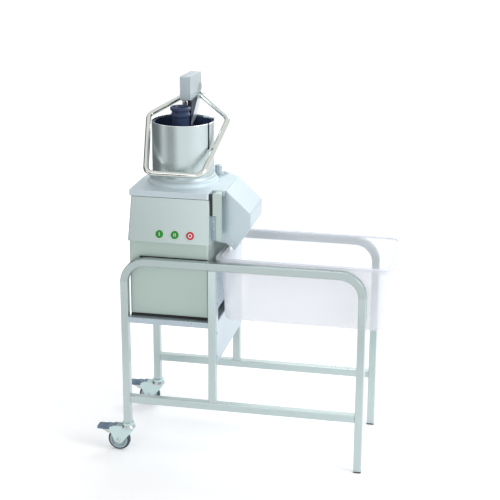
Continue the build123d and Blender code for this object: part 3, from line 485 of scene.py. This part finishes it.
# Weld beads round the tube joints of the stand
def square_loop(x, y, z, axis):
    """Corner-rounded square round a 25 mm tube whose end face looks along the axis."""
    half, cut = 12.3, 3.0
    outline = [
        (half - cut, half), (half, half - cut), (half, cut - half), (half - cut, -half),
        (cut - half, -half), (-half, cut - half), (-half, half - cut), (cut - half, half),
    ]
    if axis == "x":
        return [(x, y + a, z + b) for a, b in outline]
    return [(x + a, y + b, z) for a, b in outline]


for side, y in SIDES:
    for place, x, z, axis in (
        ("lower_left", LEFT_LEG_FACE, LOWER_RAIL_MIDDLE, "x"),
        ("lower_right", RIGHT_LEG_FACE, LOWER_RAIL_MIDDLE, "x"),
        ("post_foot", POST_X, LOWER_RAIL_TOP, "z"),
        ("post_head", POST_X, RAIL_UNDERSIDE, "z"),
    ):
        loop = square_loop(x, y, z, axis)
        wire(f"{side}_{place}_weld", loop, 0.9, "stand", "stand_tube", weld_steel, closed=True)


# Rolled edge along the hopper's rim, open at the slot, and the weld seam down its back
def on_hopper(degrees, z, radius=HOPPER_RADIUS):
    """A point on the hopper's wall by its angle round the cutting axis."""
    angle = math.radians(degrees)
    return (AXIS_X + radius * math.cos(angle), radius * math.sin(angle), z)


RIM_STEPS = 96
rim_points = [
    on_hopper(SLOT_TURN + SLOT_HALF + (360 - 2 * SLOT_HALF) * step / RIM_STEPS, HOPPER_TOP, 99.3)
    for step in range(RIM_STEPS + 1)
]
wire("hopper_rim", rim_points, 1.1, "lid", "hopper_steel", rim_steel)
seam_points = [on_hopper(62, z) for z in (915, HOPPER_TOP - 2)]
wire("hopper_seam", seam_points, 0.5, "lid", "hopper_steel", weld_steel)

# Black strips along both sides of the slot: painted shade, darkening the slot's opening
for side, name in ((-1, "left"), (1, "right")):
    turn = SLOT_TURN + side * (SLOT_HALF - 0.9)
    slot_shade_points = [on_hopper(turn, z) for z in (SLOT_BOTTOM + 1, HOPPER_TOP - 3)]
    wire(f"slot_{name}_painted_shade", slot_shade_points, 0.9, "lid", "black_plastic")


# Seal in the joint between housing and lid
def seal_outline(inset, z):
    """Points of the housing's top edge, moved inwards."""
    left, right = HOUSING_LEFT + inset, HOUSING_RIGHT - inset
    front, back = HOUSING_FRONT + PANEL_SETBACK + inset, HOUSING_BACK - inset
    corner = HOUSING_CORNER - inset
    points = [(left, front, z), (right, front, z)]
    for centre, start in ((right - corner, 0), (left + corner, 90)):
        for step in range(17):
            angle = math.radians(start + 90 * step / 16)
            points.append((
                centre + corner * math.cos(angle), back - corner + corner * math.sin(angle), z
            ))
    return points


SEAL_OUTER, SEAL_INNER, SEAL_TOP = 0.4, 6, HOUSING_TOP + 1.9
seal = bmesh.new()
seal_rings = []
for inset, z in (
    (SEAL_OUTER, HOUSING_TOP),
    (SEAL_OUTER, SEAL_TOP),
    (SEAL_INNER, SEAL_TOP),
    (SEAL_INNER, HOUSING_TOP),
):
    seal_rings.append([seal.verts.new(IN_MM @ Vector(point)) for point in seal_outline(inset, z)])
skin(seal, seal_rings, closed=True)
shaped_piece("lid_seal", seal, "stand", "foot_rubber")

# Black plate on the latch lever beside the panel, painted shade of the gap there,
# and the stop bar of the pusher cup over the rim
latch_shade_seat = at(-100.2, -145.5, 854, FORWARDS)
plate("latch_gap_shade", rounded_box(11, 70, 2), latch_shade_seat, 9, "latch", "black_plastic")
stop_seat = at(-150.5, 45.5, 1086.8) @ Matrix.Rotation(math.radians(-18), 4, "Z")
plate("rim_stop", rounded_box(43, 9, 2), stop_seat, 3.4, "pusher", "cast_alloy")

# Denser plastic along the edges of the tub's rim
for name, inset, corner in (("tub_rim_outer", 1.05, 29), ("tub_rim_inner", 14, 36)):
    outline = rounded_box(TUB_LENGTH - 2 * inset, TUB_WIDTH - 2 * inset, corner)
    points = [(TUB_MIDDLE + x, y, TUB_TOP - 1.05) for x, y in outline]
    wire(name, points, 1.1, "tub", "clear_plastic", rim_plastic, closed=True)

# Pale stay beside the web, from the head down to the cup
stay_outline = [
    (107, 1138), (54, 1097), (20, 1071), (24, 1063), (40, 1067),
    (86, 1079), (96, 1087), (134, 1118), (134, 1143), (112, 1143),
]
stay_seat = at(-205, 0, 0, RIGHTWARDS)
plate("head_stay", stay_outline, stay_seat, 1.2, "pusher", "stainless_sheet", stay_sheet)

# Black strips: painted shade in the gaps between the housing and the front rail, and under
# the base's front edge
rail_gap_shade_seat = at(-218, -171.5, 672)
plate("rail_gap_shade", rounded_box(222, 3, 1.2), rail_gap_shade_seat, 6, "stand", "foot_rubber")
base_gap_shade_seat = at(-234.25, -169.2, 479.4, FORWARDS)
plate("base_gap_shade", rounded_box(253, 8.6, 2), base_gap_shade_seat, 2.2, "stand", "foot_rubber")

# Screws: their places, the way their heads stand, the heads' radius and height, and the body
for name, places, axis, radius, height, body in (
    (
        "hinge_screws", [(AXIS_X + x, 151.5, z) for x in (-37, 37) for z in (828, 846)],
        BACKWARDS, 3.4, 6.0, "stand",
    ),
    ("hood_front_screws", [(-88, -105, 728), (-42, -105, 716)], FORWARDS, 3.2, 2.6, "stand"),
    (
        "hood_rear_screws", [(-88, 85, 846), (-88, 85, 745), (-40, 85, 716)],
        BACKWARDS, 3.2, 2.6, "stand",
    ),
    ("latch_screws", [(-90.5, -149, 775), (-90.5, -149, 800)], FORWARDS, 3.0, 2.4, "stand"),
    (
        "head_cover_screws",
        [(AXIS_X - 17, 48, 1204), (AXIS_X - 17, 160, 1196), (AXIS_X - 17, 48, 1158)],
        LEFTWARDS, 3.0, 2.2, "pusher",
    ),
    ("clamp_screw", [(-110, 98, 896)], UPWARDS, 3.6, 3.0, "lid"),
    (
        "plate_screws", [(-74, y, z) for y in (-LEG_Y, LEG_Y) for z in (360, 440, 540, 625)],
        RIGHTWARDS, 3.0, 2.2, "stand",
    ),
):
    cap_screws(name, places, axis, radius, height, body)

# Beads where the loop enters the head's sockets
SOCKET_SLOPE = math.atan2(202, 277)
slope_y, slope_z = math.cos(SOCKET_SLOPE), math.sin(SOCKET_SLOPE)
BEAD_PROFILE = ((9, -0.4), (11.4, -0.4), (11.2, 0.6), (9.8, 1.2), (9, 2.4))
for side, name in ((-1, "left"), (1, "right")):
    along = Vector((side * 105, -95 * slope_y, -95 * slope_z)).normalized()
    seat = at(AXIS_X + side * 28, 152 - 4 * slope_y, 1140 - 4 * slope_z, along)
    turned_piece(
        f"loop_{name}_bead", BEAD_PROFILE, seat, 32, "pusher", "polished_tube", weld_steel
    )

# The column's foot ring
foot_profile = ((12.5, 915), (17, 915), (17, 918), (15, 921), (12.5, 921))
foot_seat = at(AXIS_X, COLUMN_Y, 0)
turned_piece("column_foot_ring", foot_profile, foot_seat, 40, "lid", "zinc_plated", screw_steel)

# On each caster its swivel race, its brake's side arm and the cap on its axle bolt
RACE_PROFILE = ((18, 86.5), (22.5, 85), (23.5, 82.2), (24, 85.5), (19, 91.5), (18, 91))
CAP_PROFILE = ((7, 0), (7, 1.2), (5.5, 2.2), (2, 2.6))
ARM_OUTLINE = [
    (PEDAL_X - 38, 72.5), (PEDAL_X - 29, 61.5), (PEDAL_X - 15, 60), (PEDAL_X - 2, 71),
    (PEDAL_X + 4, 75.5), (PEDAL_X - 14, 73.5),
]
for side, y in SIDES:
    caster, slot = f"{side}_caster", "zinc_plated"
    race_seat = at(CASTER_X, y, 0)
    turned_piece(f"{side}_caster_race", RACE_PROFILE, race_seat, 40, caster, slot, screw_steel)
    arm_seat = at(0, y - 13.2, 0, FORWARDS)
    plate(f"{side}_brake_arm", ARM_OUTLINE, arm_seat, 0.7, f"{side}_pedal", slot, screw_steel)
    cap_seat = at(WHEEL_X, y - 20.5, WHEEL_Z, FORWARDS)
    turned_piece(
        f"{side}_axle_cap", CAP_PROFILE, cap_seat, 24, caster, slot, screw_steel, closed=False
    )


# Floor: pale, a little darker round the machine, where it lies in the machine's own shade
def stage_face(name, corners, finish):
    """One flat face of the surroundings, in metres."""
    mesh = bpy.data.meshes.new(name)
    mesh.from_pydata(corners, [], [(0, 1, 2, 3)])
    mesh.materials.append(finish.material)
    return in_scene(name, mesh)


FLOOR_HALF = 30
GLOW_NEAR, GLOW_FAR = (0.29, 0.29, 0.29), (0.63, 0.63, 0.63)
floor_finish = Finish("pale_floor", (0.86, 0.87, 0.88), 0.9, Specular_IOR_Level=0.0)
away = floor_finish.node(
    "ShaderNodeVectorMath", {"operation": "LENGTH"}, [floor_finish.place()], output=1
)
lift = floor_finish.node(
    "ShaderNodeMapRange", inputs={"Value": away, "From Min": 0.4, "From Max": 2.2}
)
glow = floor_finish.between(lift, GLOW_NEAR, GLOW_FAR)
seen = floor_finish.seen_rays()
floor_finish.put("Emission Color", floor_finish.between(seen, (0, 0, 0), glow))
floor_finish.put("Emission Strength", 1.0)
floor_corners = [
    (x * FLOOR_HALF, y * FLOOR_HALF, 0) for x, y in ((-1, -1), (1, -1), (1, 1), (-1, 1))
]
floor = stage_face("floor", floor_corners, floor_finish)
floor.location.z = -0.0005

# Grey upright cards beside the machine, seen only in its reflections
card_finish = Finish("grey_card", (0.14, 0.155, 0.16), 0.9)
for name, start, end, low, high in (
    ("left_card", (-1.7, -0.5), (-1.7, 1.6), 0.0, 2.0),
    ("back_card", (-2.2, 2.2), (-1.15, 2.2), 0.0, 2.2),
    ("low_card", (-1.7, -1.2), (0.6, -1.2), 0.0, 0.1),
    ("front_card", (-1.7, -1.2), (-0.44, -1.2), 0.52, 1.3),
):
    card = stage_face(
        name, [(*start, low), (*end, low), (*end, high), (*start, high)], card_finish
    )
    card.visible_camera = False
    card.visible_diffuse = False
    card.visible_shadow = False
    card.visible_transmission = False

# World: white where it is seen, dimmer where it lights
world = bpy.data.worlds.new("studio")
bpy.context.scene.world = world
world.use_nodes = True
sky = Shading(world.node_tree, "Background")
sky.put("Color", (1, 1, 1, 1))
sky.put("Strength", sky.node(
    "ShaderNodeMapRange", inputs={"Value": sky.seen_rays(), "To Min": 0.45, "To Max": 1.0}
))


def softbox(name, place, target, size, watts, color=(1, 1, 1)):
    """A rectangular lamp at a place, turned to its target."""
    lamp = bpy.data.lights.new(name, "AREA")
    lamp.shape = "RECTANGLE"
    lamp.size, lamp.size_y = size
    lamp.energy = watts
    lamp.color = color
    holder = in_scene(name, lamp)
    holder.location = place
    aim = Vector(target) - Vector(place)
    holder.rotation_euler = aim.to_track_quat("-Z", "Y").to_euler()


softbox("key_light", (3.4, -1.0, 2.6), (0, 0, 0.7), (1.8, 2.0), 84, (0.96, 0.97, 1.0))
softbox("fill_light", (-1.0, -3.4, 1.9), (0, 0, 0.7), (1.8, 1.8), 20)
softbox("back_light", (0.6, 2.4, 3.0), (0, 0, 0.8), (2.6, 1.6), 58, (0.97, 0.98, 1.0))

# Camera, fitted to the stand's corners in the photograph
CAMERA_PLACE = (0.807, -3.983, 1.965)
YAW, PITCH, ROLL = math.radians(11.53), math.radians(17.73), math.radians(0.27)
lens = bpy.data.cameras.new("camera")
lens.sensor_width = 36.0
lens.lens = 94.23
lens.clip_end = 100.0
camera = in_scene("camera", lens)
camera.matrix_world = (
    Matrix.Translation(CAMERA_PLACE)
    @ Matrix.Rotation(YAW, 4, "Z")
    @ Matrix.Rotation(math.pi / 2 - PITCH, 4, "X")
    @ Matrix.Rotation(ROLL, 4, "Z")
)
bpy.context.scene.camera = camera
bpy.context.scene.view_settings.view_transform = "Standard"
